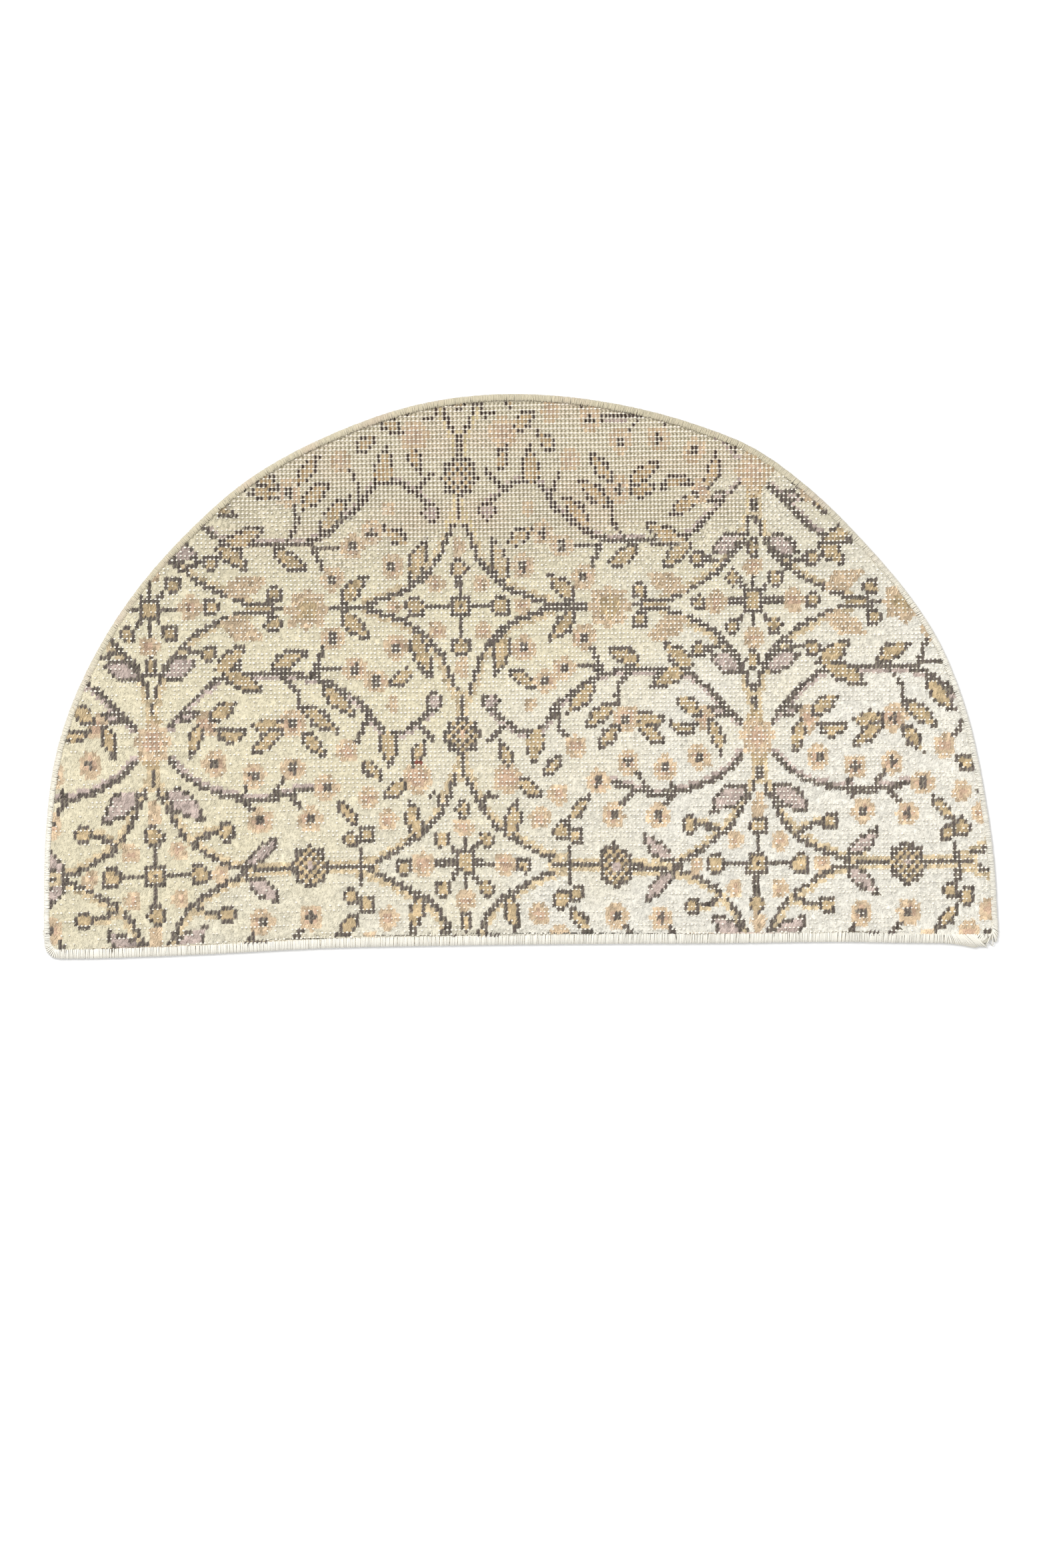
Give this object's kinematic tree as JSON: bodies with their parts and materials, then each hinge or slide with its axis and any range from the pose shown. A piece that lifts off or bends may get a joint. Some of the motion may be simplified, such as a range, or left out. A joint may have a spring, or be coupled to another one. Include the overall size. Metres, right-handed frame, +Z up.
{
  "type": "half-round wool rug",
  "caption": "Flat half-round hearth rug of knotted wool: a floral lattice on an ivory ground, worn low at the crown, its cut edges overcast in cream yarn.",
  "frame": {"origin": "on the floor under the middle of the rug's box", "axes": "+X along the straight edge, +Y from the straight edge to the crown of the curve, +Z up from the pile side"},
  "size_m": [0.9114, 0.5366, 0.0065],
  "materials": {
    "ivory_wool": "washed ivory wool pile, matte",
    "charcoal_wool": "charcoal brown wool pile, matte",
    "gold_wool": "ochre gold wool pile, matte",
    "peach_wool": "peach wool pile, matte",
    "mauve_wool": "dusty mauve wool pile, matte",
    "cotton": "cream cotton warp and weft, matte",
    "edge_yarn": "cream overcast yarn, matte"
  },
  "bodies": {
    "root": {"field": "ivory_wool", "curved_binding": "edge_yarn", "base_binding": "edge_yarn"}
  },
  "joints": []
}
